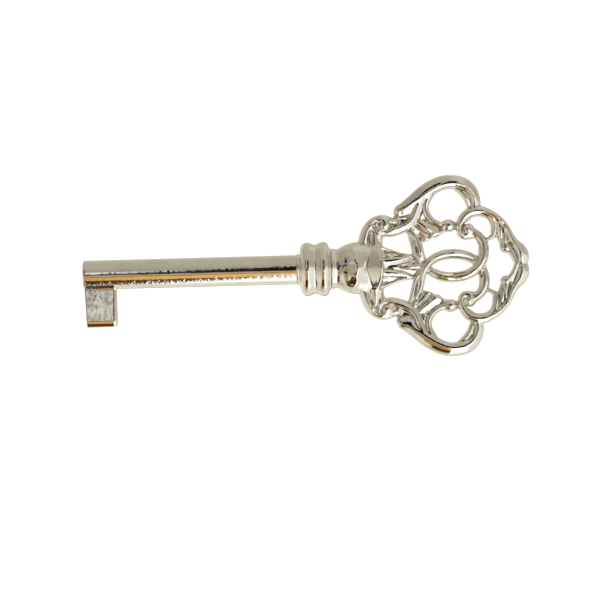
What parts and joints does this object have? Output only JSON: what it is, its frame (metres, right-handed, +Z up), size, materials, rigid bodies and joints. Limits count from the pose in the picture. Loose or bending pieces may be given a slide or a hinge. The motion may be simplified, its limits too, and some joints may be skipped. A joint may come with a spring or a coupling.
{
  "type": "furniture key",
  "caption": "Ornamental barrel key with a drilled shank, a plain bit, a double-bead collar and an openwork scrolled bow.",
  "frame": {"origin": "centre of the barrel's mouth, on the shank's axis at its tip", "axes": "+X along the shank from its tip to the bow, +Z up with the key lying flat, so the bow lies in the XY plane and the bit points along -Y"},
  "size_m": [0.0762, 0.0312, 0.0092],
  "materials": {
    "shank_plate": "polished nickel plate on steel bar",
    "bit_plate": "nickel plate on steel, slightly uneven",
    "collar_plate": "polished nickel plate on turned steel",
    "bow_plate": "polished nickel plate on cast metal"
  },
  "bodies": {
    "root": {"shank": "shank_plate", "bit": "bit_plate", "collar": "collar_plate", "bow": "bow_plate"}
  },
  "joints": []
}
